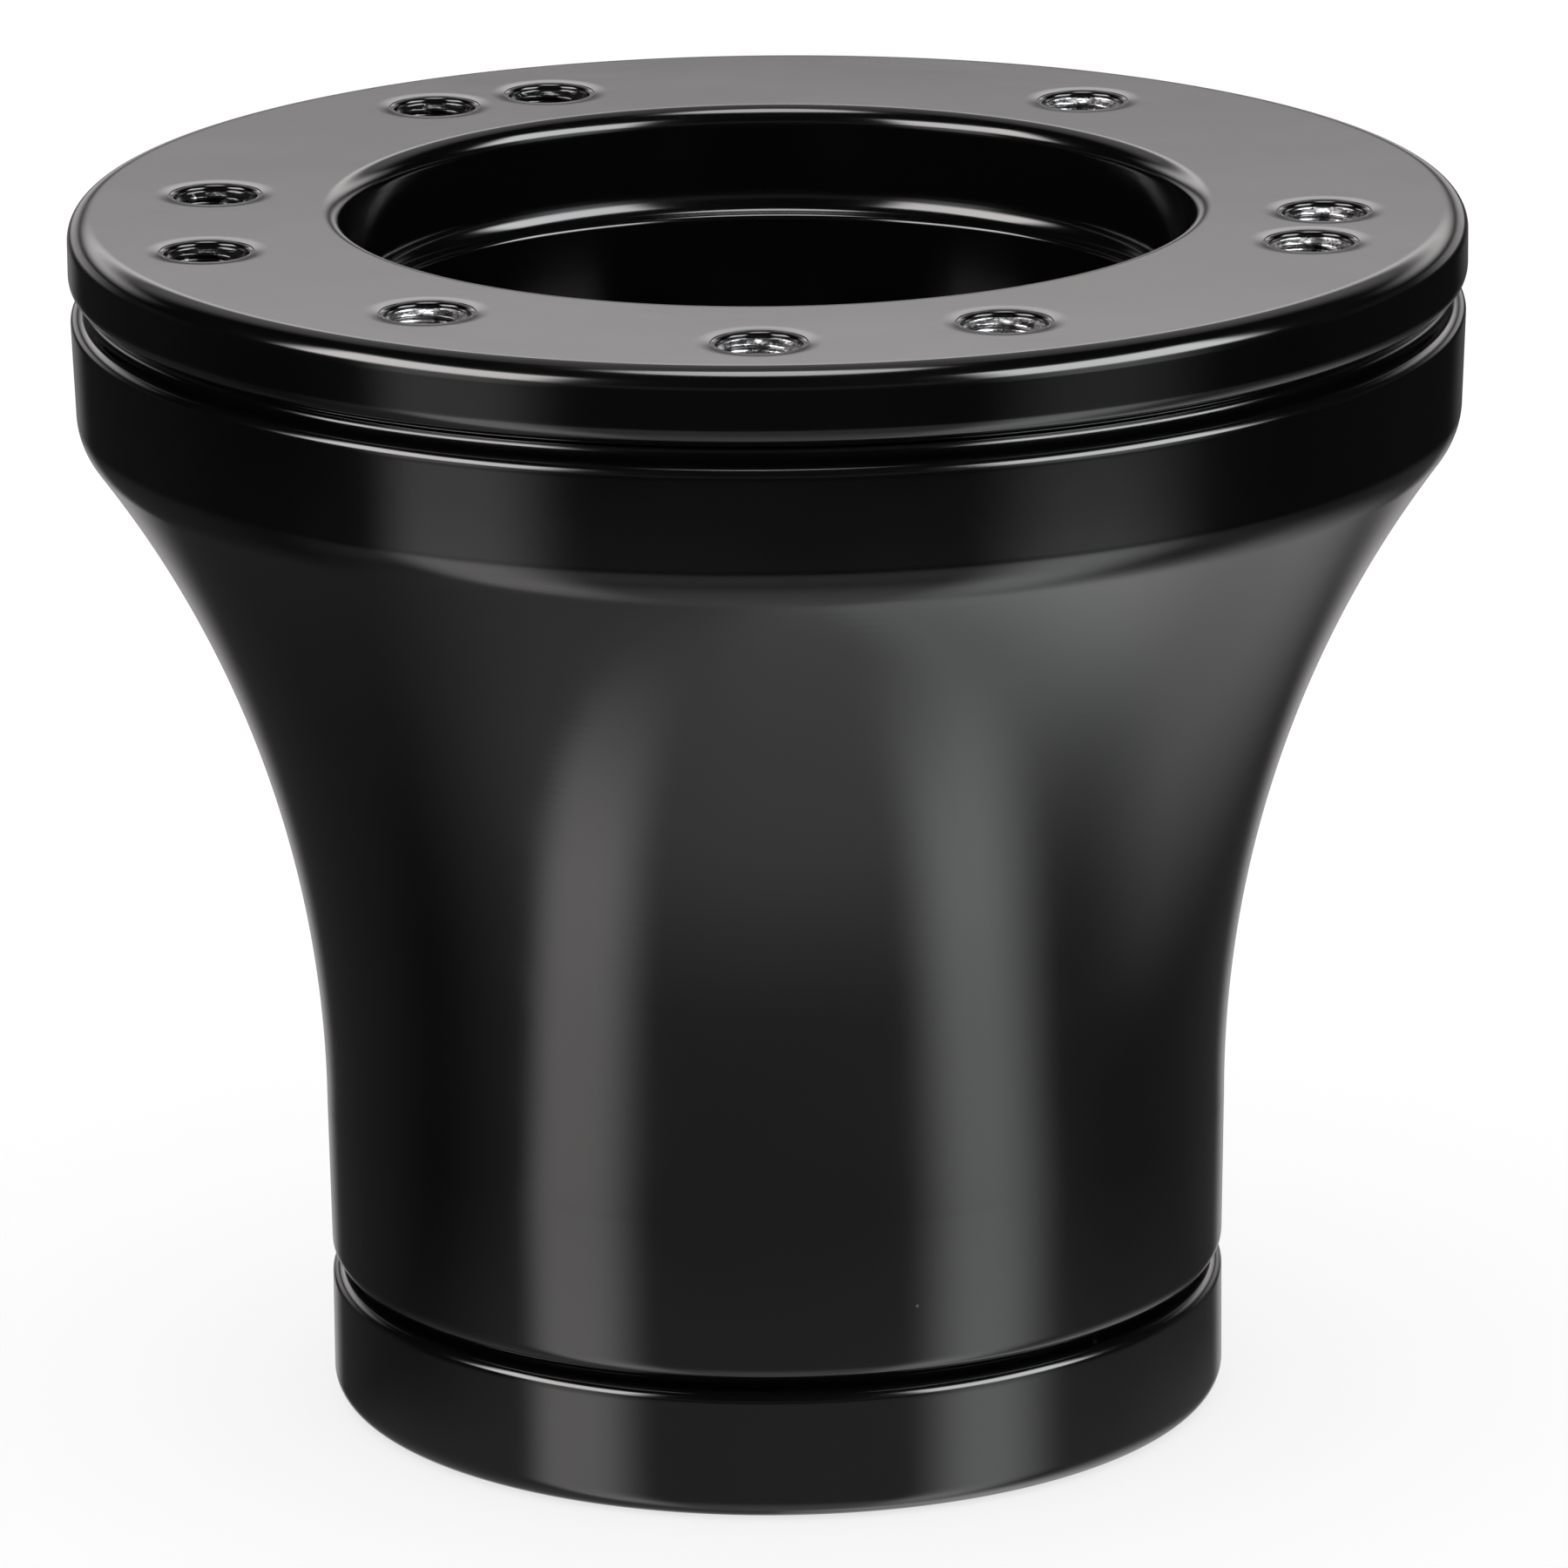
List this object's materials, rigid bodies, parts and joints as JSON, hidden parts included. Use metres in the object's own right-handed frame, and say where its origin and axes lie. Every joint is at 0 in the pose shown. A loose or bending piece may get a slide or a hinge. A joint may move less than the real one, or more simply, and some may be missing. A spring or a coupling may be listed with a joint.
{
  "type": "steering wheel hub adapter",
  "caption": "Flared black hub adapter that joins a bolted steering wheel to a splined steering shaft, with a sprung horn contact inside.",
  "frame": {"origin": "centre of the base rim's lowest face, on the hub's axis", "axes": "+Z along the hub's axis from the steering shaft to the wheel face; +Y towards the horn contact"},
  "size_m": [0.0878, 0.0878, 0.0776],
  "materials": {
    "black_coat": "gloss black powder coat",
    "boss_steel": "machined steel",
    "dark_screw": "black oxide steel",
    "zinc_screw": "bright zinc plate",
    "cam_plastic": "natural moulded plastic",
    "tower_plastic": "natural moulded plastic",
    "contact_brass": "turned brass",
    "spring_steel": "spring wire",
    "red_lead": "wire insulation",
    "black_lead": "wire insulation",
    "tinned_tag": "tinned brass",
    "clip_plastic": "moulded nylon"
  },
  "bodies": {
    "hub": {"wheel_flange": "black_coat", "flared_sleeve": "black_coat", "base_collar": "black_coat", "splined_boss": "boss_steel", "boss_screws": "dark_screw", "boss_washers": "zinc_screw", "flange_screws": "dark_screw", "flange_dowels": "boss_steel", "collar_screws": "dark_screw", "cancel_cam": "cam_plastic", "cam_screws": "zinc_screw", "plunger_tower": "tower_plastic", "plunger_spring": "spring_steel", "plunger_terminal": "contact_brass", "horn_socket": "red_lead", "horn_lead": "red_lead", "horn_plug": "red_lead", "earth_tag": "tinned_tag", "earth_screw": "zinc_screw", "earth_lead": "black_lead", "earth_plug": "black_lead", "lead_clip": "clip_plastic", "clip_screw": "zinc_screw"},
    "plunger": {"plunger_pin": "contact_brass"}
  },
  "joints": [
    {"name": "plunger_slide", "type": "slide", "parent": "hub", "child": "plunger", "axis": [0, 0, 1], "range_m": [0, 0.003], "stiffness_N_per_m": 250, "springref_m": -0.004, "deforming": ["plunger_spring"]}
  ]
}
